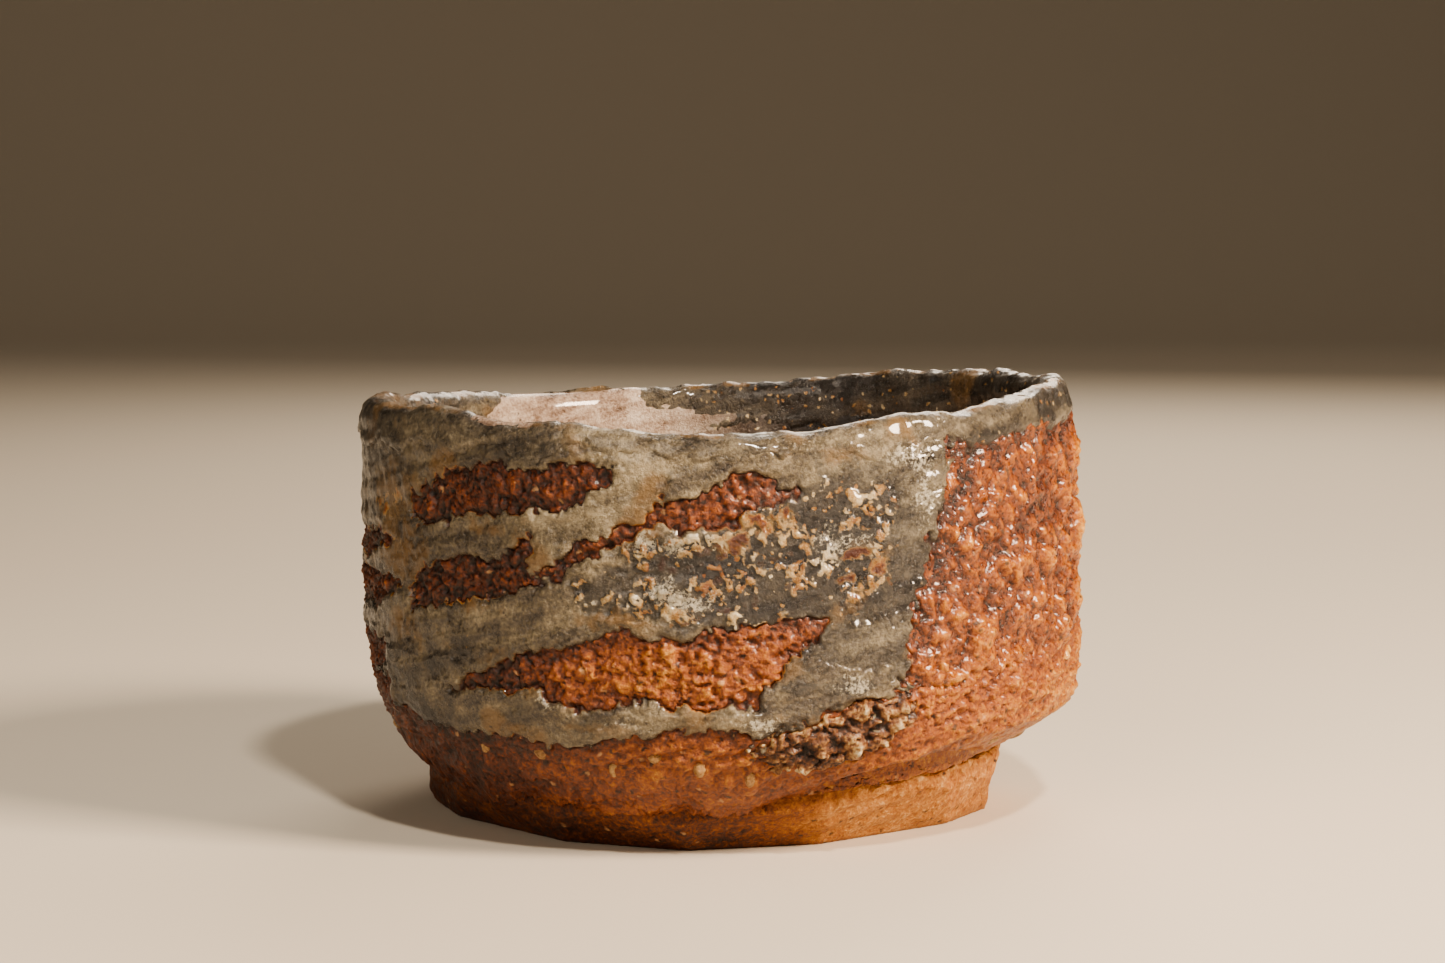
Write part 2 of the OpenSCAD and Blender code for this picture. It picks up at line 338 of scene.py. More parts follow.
def lip_cover(points):
    torn = ragged(points)
    low = 85 + 4 * ease(shares(points)[0], 30, 60) + 3 * noise(points * [1, 1, 0], 9, 73)
    return above(torn, low)


def thin_glaze(points):
    """From 0 to 1, how thin and dark the glaze lies."""
    torn = ragged(points)
    wedge = 0.8 * ease(inside(torn, DARK_WEDGE), -0.3, 1.2)
    zone = ease(inside(torn, THIN_ZONE), -2.5, 3) * (1 - ease(inside(torn, PALE_STRIP), -2, 1))
    cloud = 0.35 * ease(noise(points, 12, 76), 0, 0.7)
    return np.maximum.reduce([wedge, zone * (0.9 + 0.2 * noise(points, 9, 77)), cloud]).clip(0, 1)


# ---- mesh work


def deselect():
    for thing in bpy.context.selected_objects:
        thing.select_set(False)


def make_active(piece):
    deselect()
    piece.select_set(True)
    bpy.context.view_layer.objects.active = piece


def add_piece(name, mesh):
    piece = bpy.data.objects.new(name, mesh)
    piece.data.name = name
    piece.data.materials.clear()
    bpy.context.scene.collection.objects.link(piece)
    make_active(piece)
    return piece


def apply_modifier(piece, kind, **settings):
    modifier = piece.modifiers.new("work", kind)
    for setting, value in settings.items():
        setattr(modifier, setting, value)
    bpy.ops.object.modifier_apply(modifier=modifier.name)


def edit(operator, **settings):
    """Runs an edit-mode operator on what is selected."""
    bpy.ops.object.mode_set(mode="EDIT")
    operator(**settings)
    bpy.ops.object.mode_set(mode="OBJECT")


def merged_copy(node, name):
    """A piece with a CAD node's surface, its loose triangles merged into one skin."""
    piece = add_piece(name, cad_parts[node].data.copy())
    edit(bpy.ops.mesh.select_all, action="SELECT")
    edit(bpy.ops.mesh.remove_doubles, threshold=0.01 * MM)
    return piece


def rounded_form(levels):
    """The clay body's surface, rounded between the CAD's points."""
    form = merged_copy("clay_body", "form")
    edit(bpy.ops.mesh.select_all, action="SELECT")
    edit(bpy.ops.mesh.tris_convert_to_quads, face_threshold=math.pi, shape_threshold=math.pi)
    apply_modifier(form, "SUBSURF", levels=levels, render_levels=levels)
    return form


def read(items, field, width):
    """A field of all points or faces as rows of numbers."""
    values = np.empty(len(items) * width, np.float32)
    items.foreach_get(field, values)
    return values.reshape(-1, width).astype(float)


def points_of(piece):
    return read(piece.data.vertices, "co", 3) / MM


def face_corners(mesh):
    """The point at each corner of each face, and how many corners each face has."""
    at = np.empty(len(mesh.loops), np.int32)
    mesh.loops.foreach_get("vertex_index", at)
    return at, read(mesh.polygons, "loop_total", 1)[:, 0].astype(int)


def face_places(piece):
    """The middle of each face in mm, and its normal."""
    return (read(piece.data.polygons, "center", 3) / MM,
            read(piece.data.polygon_normals, "vector", 3))


def outward(centres, normals):
    """How far each face looks away from the bowl's axis, from -1 to 1."""
    reach = np.hypot(centres[:, 0], centres[:, 1]) + 0.001
    return (normals[:, 0] * centres[:, 0] + normals[:, 1] * centres[:, 1]) / reach


def choose_faces(piece, chosen):
    """Selects the chosen faces, ready for edit mode."""
    make_active(piece)
    bpy.context.tool_settings.mesh_select_mode = (False, False, True)
    mesh = piece.data
    mesh.vertices.foreach_set("select", np.zeros(len(mesh.vertices), bool))
    mesh.edges.foreach_set("select", np.zeros(len(mesh.edges), bool))
    mesh.polygons.foreach_set("select", chosen)


def keep_faces(piece, kept):
    choose_faces(piece, ~kept)
    edit(bpy.ops.mesh.delete, type="FACE")


def refine(piece, chosen, cuts):
    """Cuts each edge of the chosen faces into cuts + 1."""
    choose_faces(piece, chosen)
    edit(bpy.ops.mesh.subdivide, number_cuts=cuts)


def paint(piece, name, values):
    """Stores one number for each point of the piece, for its material to read."""
    layer = piece.data.attributes.new(name, "FLOAT", "POINT")
    layer.data.foreach_set("value", np.asarray(values, np.float32))


def add(tree, kind, inputs=(), stops=(), **settings):
    """Adds a node with its settings, its values or links, and the colours of its ramp."""
    made = tree.nodes.new(kind)
    for name, value in settings.items():
        setattr(made, name, value)
    for socket, value in dict(inputs).items():
        if isinstance(value, bpy.types.NodeSocket):
            tree.links.new(value, made.inputs[socket])
        else:
            made.inputs[socket].default_value = value
    for at, (place, colour) in enumerate(stops):
        elements = made.color_ramp.elements
        stop = elements[at] if at < 2 else elements.new(place)
        stop.position = place
        stop.color = linear(colour)
    return made


def linear(colour):
    """A colour such as #a5552d as linear red, green, blue and full alpha."""
    parts = [int(colour[at:at + 2], 16) / 255 for at in (1, 3, 5)]
    return tuple(p / 12.92 if p <= 0.04045 else ((p + 0.055) / 1.055) ** 2.4 for p in parts) + (1,)


def lifting_tool():
    """A modifier group that moves each point along its normal by its painted rise."""
    tree = bpy.data.node_groups.new("lift_surface", "GeometryNodeTree")
    tree.interface.new_socket("Geometry", in_out="INPUT", socket_type="NodeSocketGeometry")
    tree.interface.new_socket("Geometry", in_out="OUTPUT", socket_type="NodeSocketGeometry")
    skin = add(tree, "NodeGroupInput").outputs[0]
    rise = add(tree, "GeometryNodeInputNamedAttribute", {"Name": "rise"}, data_type="FLOAT")
    metres = add(tree, "ShaderNodeMath", {0: rise.outputs["Attribute"], 1: MM},
                 operation="MULTIPLY")
    normal = add(tree, "GeometryNodeInputNormal").outputs[0]
    push = add(tree, "ShaderNodeVectorMath", {0: normal, "Scale": metres.outputs[0]},
               operation="SCALE")
    moved = add(tree, "GeometryNodeSetPosition", {"Geometry": skin, "Offset": push.outputs[0]})
    add(tree, "NodeGroupOutput", {0: moved.outputs[0]})
    return tree


LIFT = lifting_tool()


def raise_surface(piece, rise):
    """Moves each point out by its rise in mm."""
    paint(piece, "rise", rise)
    make_active(piece)
    apply_modifier(piece, "NODES", node_group=LIFT)


def unroll(piece, hidden, disc_from=None):
    """The flat map of a finished surface: a strip round the wall or, about the height
    disc_from in mm, a disc. Hidden faces shrink into its corner."""
    layer = piece.data.uv_layers.new(name="OFBake")
    at, sizes = face_corners(piece.data)
    x, y, z = points_of(piece)[at].T
    if disc_from is None:
        turn = np.arctan2(x, -y) / (2 * math.pi)
        middle = face_places(piece)[0]
        middle_turn = np.repeat(np.arctan2(middle[:, 0], -middle[:, 1]) / (2 * math.pi), sizes)
        across = turn + np.round(middle_turn - turn)
        flat = np.stack([across - across.min(), z - z.min()], axis=1)
        flat /= flat.max(axis=0)
    else:
        reach = np.hypot(x, y) + np.abs(z - disc_from)
        stretch = reach / reach.max() / np.hypot(x, y).clip(0.01)
        flat = 0.5 + 0.5 * stretch[:, None] * np.stack([x, y], axis=1)
    shown = ~np.repeat(hidden, sizes)
    flat = 0.005 + 0.99 * flat * np.where(shown, 1, 0.004)[:, None]
    layer.data.foreach_set("uv", flat.astype(np.float32).ravel())


def finish_piece(name, piece, material):
    """Smooth shading, its material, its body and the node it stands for."""
    make_active(piece)
    bpy.ops.object.shade_smooth()
    piece.data.polygons.foreach_set("material_index", np.zeros(len(piece.data.polygons), int))
    piece.data.materials.clear()
    piece.data.materials.append(material)
    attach(piece, "root")
    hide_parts(name)


def shown_faces(skin):
    """Which faces lie on the side that can be seen, and not on the backing."""
    return read(skin.data.polygons, "material_index", 1)[:, 0] == 0


def closed_skin(form, name, kept, cuts):
    """Takes the kept faces of a form, gives them a hidden backing inside the clay, and cuts
    the shown side finer. Returns the piece, its shown points and its hidden faces."""
    skin = add_piece(name, form.data.copy())
    keep_faces(skin, kept)
    skin.data.materials.append(None)
    skin.data.materials.append(None)
    apply_modifier(skin, "SOLIDIFY", thickness=BACKING * MM, offset=-1, material_offset=1,
                   material_offset_rim=1)
    if cuts:
        refine(skin, shown_faces(skin), cuts)
    shown = shown_faces(skin)
    at, sizes = face_corners(skin.data)
    front = np.zeros(len(skin.data.vertices), bool)
    front[at[np.repeat(shown, sizes)]] = True
    return skin, front, ~shown


# ---- materials


def per(size):
    """The scale of a pattern whose marks are size mm apart."""
    return 1 / (size * MM)


SHADER_SOCKETS = {"color": "Base Color", "roughness": "Roughness", "coat": "Coat Weight",
                  "coat_roughness": "Coat Roughness"}


def start_material(name, **constants):
    """A new material, its tree, its shader and the place on the object that patterns read."""
    material = bpy.data.materials.new(name)
    material.use_nodes = True
    tree = material.node_tree
    tree.nodes.clear()
    shader = add(tree, "ShaderNodeBsdfPrincipled",
                 {SHADER_SOCKETS[socket]: value for socket, value in constants.items()})
    add(tree, "ShaderNodeOutputMaterial", {"Surface": shader.outputs[0]})
    place = add(tree, "ShaderNodeTexCoord").outputs["Object"]
    return material, tree, shader, place


# Where the Mix node takes two colours and gives one, and where Map Range takes its limits
MIX_A, MIX_B, MIXED = 6, 7, 2
LOW, HIGH, TO_LOW, TO_HIGH = 1, 2, 3, 4

# What the patterns measure on the real surfaces, in mm
GRIT = 0.7              # sand in the clay, drawn a little coarser than it is so that it shows
FLAME_CLOUD = 4.5       # where flame and smoke coloured the clay
IRON_APART = 2.6        # black iron specks
GRAIN_APART = 3.9       # pale grains
BRUSH_MARK = 3          # the brush's ridges, six times as long as they are apart
MOTTLE = 5              # thick and thin places in the glaze
CRYSTAL = 0.6           # the glaze's finest grain
CRUMB_APART = 1.3       # crumbs caught in the thin glaze
PINHOLE_APART = 3       # pinholes


def shaken(tree, place, size, reach):
    """The place shifted by noise, so that round marks come out torn."""
    cloud = add(tree, "ShaderNodeTexNoise", {"Vector": place, "Scale": per(size), "Detail": 2})
    centred = add(tree, "ShaderNodeVectorMath", {0: cloud.outputs["Color"], 1: (0.5,) * 3},
                  operation="SUBTRACT").outputs[0]
    return add(tree, "ShaderNodeVectorMath", {0: centred, 1: (reach * MM,) * 3, 2: place},
               operation="MULTIPLY_ADD").outputs[0]


def speckle(tree, under, colour, place, apart, inner, outer, most):
    """Lays specks apart mm from each other, solid out to inner and gone at outer, which are
    shares of that distance."""
    spots = add(tree, "ShaderNodeTexVoronoi", {"Vector": place, "Scale": per(apart)})
    speck = add(tree, "ShaderNodeMapRange", {0: spots.outputs["Distance"], LOW: inner,
                                             HIGH: outer, TO_LOW: most, TO_HIGH: 0}).outputs[0]
    return add(tree, "ShaderNodeMix", {0: speck, MIX_A: under, MIX_B: linear(colour)},
               data_type="RGBA").outputs[MIXED]


def lay_over(tree, under, colour, mark, grain, much, low, high, most=1.0):
    """Lays a colour over another where a mark is strong, its edge torn by a grain."""
    torn = add(tree, "ShaderNodeMath", {0: grain, 1: much, 2: mark},
               operation="MULTIPLY_ADD").outputs[0]
    share = add(tree, "ShaderNodeMapRange", {0: torn, LOW: low, HIGH: high,
                                             TO_HIGH: most}).outputs[0]
    return add(tree, "ShaderNodeMix", {0: share, MIX_A: under, MIX_B: colour},
               data_type="RGBA").outputs[MIXED]


def join(tree, shader, **values):
    """Links colour, roughness and bump to the shader."""
    for socket, value in values.items():
        tree.links.new(value, shader.inputs[socket.replace("_", " ")])


def coarse_clay(name, stops, roughness, coat=0.0, iron="#1f110b", pale="#c2966a"):
    """Iron-rich stoneware, pinched and pared by hand and fired with wood: matt, gritty, dark
    in its pits, partly its own colour and partly painted shade, and orange where the flame touched
    it, with black iron specks and pale grains."""
    material, tree, shader, place = start_material(name, coat=coat, coat_roughness=0.2)
    torn = shaken(tree, place, 1.1, 1.6)
    tone = add(tree, "ShaderNodeAttribute", attribute_name="tone").outputs["Fac"]
    cloud = add(tree, "ShaderNodeTexNoise", {"Vector": place, "Scale": per(FLAME_CLOUD),
                                             "Detail": 7, "Roughness": 0.68}).outputs["Fac"]
    grit = add(tree, "ShaderNodeTexNoise", {"Vector": place, "Scale": per(GRIT), "Detail": 4,
                                            "Roughness": 0.7}).outputs["Fac"]
    warmth = add(tree, "ShaderNodeMath", {0: cloud, 1: 0.65, 2: tone},
                 operation="MULTIPLY_ADD").outputs[0]
    # The grit that shapes the bump also sets the colour: its low places are drawn darker and its
    # high places lighter, partly as painted shade and light
    value = add(tree, "ShaderNodeMath", {0: grit, 1: 1.3, 2: warmth},
                operation="MULTIPLY_ADD").outputs[0]
    spread = add(tree, "ShaderNodeMath", {0: value, 1: 0.95}, operation="SUBTRACT").outputs[0]
    base = add(tree, "ShaderNodeValToRGB", {0: spread}, stops=stops).outputs["Color"]
    specked = speckle(tree, base, iron, torn, IRON_APART, 0.1, 0.22, 0.8)
    colour = speckle(tree, specked, pale, torn, GRAIN_APART, 0.06, 0.15, 0.7)
    sheen = add(tree, "ShaderNodeMapRange", {
        0: grit, LOW: 0.35, HIGH: 0.65, TO_LOW: roughness - 0.22,
        TO_HIGH: roughness + 0.15}).outputs[0]
    bump = add(tree, "ShaderNodeBump", {"Height": grit, "Strength": 1.0,
                                        "Distance": 0.45 * MM}).outputs[0]
    join(tree, shader, Base_Color=colour, Roughness=sheen, Normal=bump)
    return material


def swept_body(tree, place, marks, stops):
    """The glaze's own colour, streaked along the sweeps and darker where it was wiped thin; on the
    inner wall and lip the same darker colour is painted shade.
    """
    sweep = add(tree, "ShaderNodeMapping", {"Vector": place, "Rotation": (0, -SWEEP_TURN, 0),
                                            "Scale": (6, 6, 1)}, vector_type="TEXTURE")
    streaks = add(tree, "ShaderNodeTexNoise", {"Vector": sweep.outputs[0],
                                               "Scale": per(BRUSH_MARK), "Detail": 6,
                                               "Roughness": 0.65}).outputs["Fac"]
    both = add(tree, "ShaderNodeMath", {0: streaks, 1: marks["mottle"]},
               operation="ADD").outputs[0]
    toned = add(tree, "ShaderNodeMath", {0: both, 1: marks["tone"]}, operation="ADD").outputs[0]
    grainy = add(tree, "ShaderNodeMath", {0: marks["fine"], 1: 0.8, 2: toned},
                 operation="MULTIPLY_ADD").outputs[0]
    shade = add(tree, "ShaderNodeMapRange", {0: grainy, LOW: 1.12, HIGH: 1.7}).outputs[0]
    body = add(tree, "ShaderNodeValToRGB", {0: shade}, stops=stops).outputs["Color"]
    dark = add(tree, "ShaderNodeValToRGB", {0: shade}, stops=WIPED_AND_SHADE_STOPS).outputs["Color"]
    return add(tree, "ShaderNodeMix", {0: marks["thin"], MIX_A: body, MIX_B: dark},
               data_type="RGBA").outputs[MIXED]


def caught_crumbs(tree, place, marks, under):
    """Crumbs of clay and ash caught in the thin glaze: orange to cream."""
    colour = add(tree, "ShaderNodeValToRGB", {0: marks["mottle"]}, stops=CRUMB_STOPS)
    fleck = add(tree, "ShaderNodeTexVoronoi", {"Vector": shaken(tree, place, 0.9, 1.3),
                                               "Scale": per(CRUMB_APART)})
    near = add(tree, "ShaderNodeMapRange", {0: fleck.outputs["Distance"], LOW: 0.16,
                                            HIGH: 0.36, TO_LOW: 1, TO_HIGH: 0}).outputs[0]
    chance = add(tree, "ShaderNodeSeparateColor", {0: fleck.outputs["Color"]}).outputs[0]
    picked = add(tree, "ShaderNodeMapRange", {0: chance, LOW: 0.6, HIGH: 0.65}).outputs[0]
    lone = add(tree, "ShaderNodeMath", {0: near, 1: picked}, operation="MULTIPLY").outputs[0]
    flecked = add(tree, "ShaderNodeMath", {0: lone, 1: marks["thin"]},
                  operation="MULTIPLY").outputs[0]
    either = add(tree, "ShaderNodeMath", {0: flecked, 1: marks["crumb"]},
                 operation="MAXIMUM").outputs[0]
    return lay_over(tree, under, colour.outputs["Color"], either, marks["fine"], 0.5, 0.5, 0.75)


def thin_rims(tree, marks, under):
    """The thinnest glaze lets the iron through: brown at most edges, and gold where it ran
    out slowly."""
    rim_edge = add(tree, "ShaderNodeMath", {0: marks["fine"], 1: 0.7, 2: marks["rim"]},
                   operation="MULTIPLY_ADD").outputs[0]
    rim = add(tree, "ShaderNodeMapRange", {0: rim_edge, LOW: 0.45, HIGH: 1.05}).outputs[0]
    gold = add(tree, "ShaderNodeValToRGB", {0: rim}, stops=GOLD_RIM_STOPS).outputs["Color"]
    brown = add(tree, "ShaderNodeValToRGB", {0: rim}, stops=BROWN_RIM_STOPS).outputs["Color"]
    colour = add(tree, "ShaderNodeMix", {0: marks["gold"], MIX_A: brown, MIX_B: gold},
                 data_type="RGBA").outputs[MIXED]
    shown = add(tree, "ShaderNodeMapRange", {0: rim, LOW: 0, HIGH: 0.35}).outputs[0]
    return add(tree, "ShaderNodeMix", {0: shown, MIX_A: under, MIX_B: colour},
               data_type="RGBA").outputs[MIXED]


def ash_glaze(name, body_stops, gloss):
    """Wood-ash glaze, brushed on in sweeps and fired to a satin gloss: olive grey where it is
    thick, golden and brown where it thins over grains and edges, and dark where it was wiped and,
    on the inner wall and lip, where shade is painted."""
    material, tree, shader, place = start_material(name, coat=0.6, coat_roughness=0.09)
    marks = {mark: add(tree, "ShaderNodeAttribute", attribute_name=mark).outputs["Fac"]
             for mark in ("tone", "thin", "gold", "pale", "crumb", "rim")}
    for grain, size, detail in (("mottle", MOTTLE, 8), ("fine", CRYSTAL, 4)):
        marks[grain] = add(tree, "ShaderNodeTexNoise", {
            "Vector": place, "Scale": per(size), "Detail": detail,
            "Roughness": 0.72}).outputs["Fac"]
    colour = swept_body(tree, place, marks, body_stops)
    colour = caught_crumbs(tree, place, marks, colour)
    # Ochre clouds where the glaze went golden, and milky ridges where it pooled and crystals grew,
    # whitened in part as painted highlights
    colour = lay_over(tree, colour, linear("#74562d"), marks["gold"], marks["mottle"], 2.2, 1.5,
                      1.95, most=0.75)
    colour = lay_over(tree, colour, linear("#b8b09c"), marks["pale"], marks["fine"], 2.6, 1.98,
                      2.3, most=0.85)
    colour = thin_rims(tree, marks, colour)
    colour = speckle(tree, colour, "#241811", shaken(tree, place, 1, 1.5), PINHOLE_APART,
                     0.05, 0.12, 0.8)
    sheen = add(tree, "ShaderNodeMapRange", {
        0: marks["mottle"], LOW: 0.4, HIGH: 0.62, TO_LOW: gloss - 0.16,
        TO_HIGH: gloss + 0.16}).outputs[0]
    rough = add(tree, "ShaderNodeMath", {0: marks["mottle"], 1: 2.2, 2: marks["fine"]},
                operation="MULTIPLY_ADD").outputs[0]
    bump = add(tree, "ShaderNodeBump", {"Height": rough, "Strength": 0.95,
                                        "Distance": 0.42 * MM}).outputs[0]
    join(tree, shader, Base_Color=colour, Roughness=sheen, Normal=bump)
    return material


# Colours from thin or dark to thick or light
# The wiped glaze's dark colours, which are also the painted shade on the inner wall and lip
WIPED_AND_SHADE_STOPS = [(0, "#0f0c0a"), (0.35, "#1c1815"), (0.65, "#2c2621"), (1, "#4a4238")]
CRUMB_STOPS = [(0.38, "#7a4a28"), (0.47, "#96713f"), (0.55, "#b5a078"), (0.64, "#d0c6b0")]
GOLD_RIM_STOPS = [(0, "#9a8a68"), (0.35, "#b08648"), (0.65, "#a0622a"), (1, "#5c2a13")]
BROWN_RIM_STOPS = [(0, "#463b30"), (0.5, "#38281d"), (1, "#35190e")]
CLAY_STOPS = [(0, "#180b05"), (0.2, "#411d0d"), (0.42, "#6e3516"), (0.62, "#955120"),
              (0.82, "#b07430"), (1, "#cc9c5c")]
FOOT_STOPS = [(0, "#241007"), (0.2, "#52260f"), (0.42, "#83481c"), (0.62, "#a4682f"),
              (0.82, "#bb864c"), (1, "#d4ad7c")]
AMBER_STOPS = [(0, "#1e0b04"), (0.2, "#4f210a"), (0.42, "#803f0f"), (0.62, "#a35e18"),
               (0.82, "#bb7f30"), (1, "#d2a25e")]
ASH_STOPS = [(0, "#2a231c"), (0.3, "#4e4437"), (0.6, "#71654f"), (1, "#a3957a")]
LIP_STOPS = [(0, "#241e18"), (0.3, "#453d31"), (0.6, "#695e4b"), (1, "#9a8e76")]
INNER_STOPS = [(0, "#5a4434"), (0.3, "#917865"), (0.65, "#baa490"), (1, "#d6c5b3")]
PANEL_STOPS = [(0, "#221d18"), (0.3, "#403930"), (0.6, "#5f5646"), (1, "#8f836b")]
CRUST_STOPS = [(0, "#120805"), (0.28, "#351b0e"), (0.48, "#6b3f20"), (0.64, "#977044"),
               (0.8, "#b59c72"), (1, "#d6cab0")]
STONE_STOPS = [(0, "#66452a"), (0.3, "#936c40"), (0.7, "#b59262"), (1, "#d0b894")]

# Iron-rich stoneware, pared when leather hard: torn and matt, with a faint flash of ash
RED_CLAY = coarse_clay("red_stoneware_hand_pared", CLAY_STOPS, 0.5, coat=0.3)
# The same clay cut with a knife and left bare: drier, flatter and paler where the flame passed,
# and drawn darker on the left as painted shade on the chamfer
FOOT_CLAY = coarse_clay("red_stoneware_knife_cut", FOOT_STOPS, 0.6)
# Clay under a thin clear ash coat: wet-looking, brighter orange, with the clay's grain in it
AMBER_GLAZE = coarse_clay("clear_ash_glaze_over_clay", AMBER_STOPS, 0.36, coat=0.6,
                          pale="#b4865a")
# Ash that fell on the wet hip and half melted: tan beads with dark brown hollows
CRUST = coarse_clay("melted_ash_crust", CRUST_STOPS, 0.45, coat=0.2, pale="#d8cbb0")
# Feldspar grains that softened in the fire: waxy, cream to ochre
FELDSPAR = coarse_clay("feldspar_grain_half_melted", STONE_STOPS, 0.4, coat=0.2,
                       iron="#7a5a35", pale="#e0cba2")
# Ash glaze brushed on once: olive grey, satin, with the brush's sweeps in it
ASH_GLAZE = ash_glaze("ash_glaze_brushed", ASH_STOPS, 0.32)
# The same glaze laid over itself: darker and a little glossier
DARK_GLAZE = ash_glaze("ash_glaze_second_coat", PANEL_STOPS, 0.3)
# The lip dipped last: glossy, running brown over the crest
LIP_GLAZE = ash_glaze("ash_glaze_dipped_lip", LIP_STOPS, 0.3)
# Feldspar glaze poured in and out: pale, thick and even, browner to the right, partly its own
# tone and partly painted shade
INNER_GLAZE = ash_glaze("feldspar_glaze_poured", INNER_STOPS, 0.35)


# ---- pieces


def clay_relief(points):
    """The bare clay's own torn grain, in mm, with its mean near 0."""
    torn = 0.6 + 0.4 * ease(shares(points)[1], 14, 26)
    return torn * (0.65 * beaded(ragged(points), 1.1, 10) + 0.8 * pebbled(points, 2.8, 12) - 0.7)


def glaze_cover(points):
    """How many mm each point lies inside the glaze, whichever coat it is."""
    return np.maximum.reduce([cover(points) for cover in (
        front_cover, left_cover, back_cover, panel_cover, hip_cover, lip_cover)])


def clay_tone(points, glazed):
    """How the flame coloured the bare clay: 0.5 is rust, less is dark and more is tan."""
    u, v = shares(points)
    front = front_share(points)
    tone = 0.42 + 0.08 * noise(points, 22, 80)
    tone += 0.16 * front * bell(u, -12, 22) * bell(v, 31, 9)
    tone -= 0.17 * front * ease(-u, 35, 65)
    tone -= 0.06 * front * bell(v, 74, 16)
    tone += 0.22 * front * ease(u, 20, 70) * (1 - ease(v, 15, 45))
    tone += 0.16 * front * bell(u, -5, 26) * bell(v, 6, 6)
    return tone - 0.12 * ease(glazed, -2.5, 0)


def coat_shape(points, own, glazed, thickness, thin, gold, pale):
    """The rise of a brushed coat, which dives under the clay where it ends, how far it has
    thinned to its rim, and the crumbs in it."""
    grain = clay_relief(points)
    brushed = (0.19 * noise(swept(points), np.array([18, 18, 2.1]), 20)
               + 0.09 * noise(swept(points), np.array([9, 9, 1]), 23)
               + 0.13 * noise(points, 3.5, 21) + 0.07 * noise(points, 1.4, 22))
    crowd = ease(noise(points, 5, 91), -0.7, 0.3) * ease(thin, 0.5, 0.8)
    crumb = crowd * beaded(ragged(points), 1.15, 90, share=0.4)
    crystals = pale * np.maximum(pebbled(swept(points) * [0.55, 1, 1], 1.7, 92) - 0.3, 0)
    levels = []
    for cover in (own, glazed):
        edge = ease(cover, -1.7, 0.8)
        levels.append((thickness * (1 - 0.5 * thin) + 0.2 * bell(cover, 1.4, 0.9)) * edge
                      - 1.9 * (1 - edge) + brushed)
    rise = lumps(points) + levels[0] + grain * 0.22 + 0.5 * crumb + 0.45 * crystals
    if thickness < LIP_THICK:
        # The other coats duck under the lip's
        rise -= 0.9 * ease(lip_cover(points), 0.6, 2.6)
    depth = levels[1] - 0.3 * grain
    rim = 1 - ease(depth, -0.15 + 0.15 * gold, 0.14 + 0.45 * gold)
    return rise, rim, crumb


def paint_glaze(piece, **marks):
    """Stores what a glaze material reads: rim, crumb, thin glaze with painted shade, gold, pale
    and tone.
    """
    for name, values in marks.items():
        paint(piece, name, values)


def glaze_tone(points):
    """Where the glaze is lighter, above 0, and darker, below 0."""
    u, v = shares(points)
    front = front_share(points)
    tone = 0.12 * noise(points, 24, 93) + 0.05 * noise(points, 9, 94)
    tone += 0.12 * front * bell(u, -28, 22) * bell(v, 80, 20)
    tone -= 0.1 * front * ease(-u, 60, 90)
    return tone


def golden(points):
    """Where the glaze's thin places turned gold instead of brown, from 0 to 1."""
    chance = 0.75 * ease(noise(points, 9, 95), 0.05, 0.6)
    return np.maximum(chance, marked(points, GOLD_MARKS))


def wall_faces(form, cover):
    """The faces of the outer wall that a coat reaches."""
    centres, normals = face_places(form)
    wall = (outward(centres, normals) > OUTER) & (centres[:, 2] > FOOT_TOP + 0.3)
    return wall & (cover(centres) > -3)


def move_points(piece, places):
    piece.data.vertices.foreach_set("co", (places * MM).astype(np.float32).ravel())
    piece.data.update()


def coat_cover(points):
    """How many mm each point lies inside any coat on the clay."""
    return np.maximum.reduce([glaze_cover(points), amber_cover(points), crust_cover(points)])


def make_clay_body(form):
    piece = add_piece("clay_wall", form.data.copy())
    # The bare clay of the front is cut finer, least on the hip: cuts, from and to percent up
    for cuts, low, high in ((2, -1, 14), (3, 14, 100)):
        centres, normals = face_places(piece)
        height = shares(centres)[1]
        wall = (outward(centres, normals) > OUTER) & (centres[:, 2] > FOOT_TOP + 0.1)
        bare = wall & (coat_cover(centres) < 1.2) & (height >= low) & (height < high)
        refine(piece, bare & (centres[:, 1] < 0), cuts)
    points = points_of(piece)
    glazed = glaze_cover(points)
    buried = ease(coat_cover(points), -0.5, 1.4)
    grain = clay_relief(points)
    scrape = (0.45 - 0.2 * ease(shares(points)[1], 14, 26)) * noise(
        swept(points), np.array([11, 11, 1.4]), 16)
    rise = lumps(points) + (grain + scrape) * (1 - 0.5 * buried) - 0.7 * buried
    outer = outward(points, read(piece.data.vertices, "normal", 3)) > OUTER
    outer &= np.hypot(points[:, 0], points[:, 1]) > FOOT_R
    raise_surface(piece, np.where(outer, rise, -0.3))
    move_points(piece, tucked(points_of(piece)))
    # The tone follows the grain and scrapes: darker in their hollows and lighter on their tops,
    # partly the clay's own colour and partly painted shade and light
    paint(piece, "tone", clay_tone(points, glazed) + 0.34 * grain + 0.2 * scrape)
    centres, normals = face_places(piece)
    unroll(piece, outward(centres, normals) < -0.3)
    finish_piece("clay_body", piece, RED_CLAY)


def make_coat(form, name, material, cover, thickness, cuts):
    piece, front, hidden = closed_skin(form, name + "_skin", wall_faces(form, cover), cuts)
    points = points_of(piece)
    thin, gold, pale = thin_glaze(points), golden(points), marked(points, PALE_GLINT_MARKS)
    rise, rim, crumb = coat_shape(points, cover(points), glaze_cover(points), thickness,
                                  thin, gold, pale)
    raise_surface(piece, np.where(front, rise, 0))
    paint_glaze(piece, rim=rim, crumb=crumb, thin=thin, gold=gold, pale=pale,
                tone=glaze_tone(points))
    unroll(piece, hidden)
    finish_piece(name, piece, material)


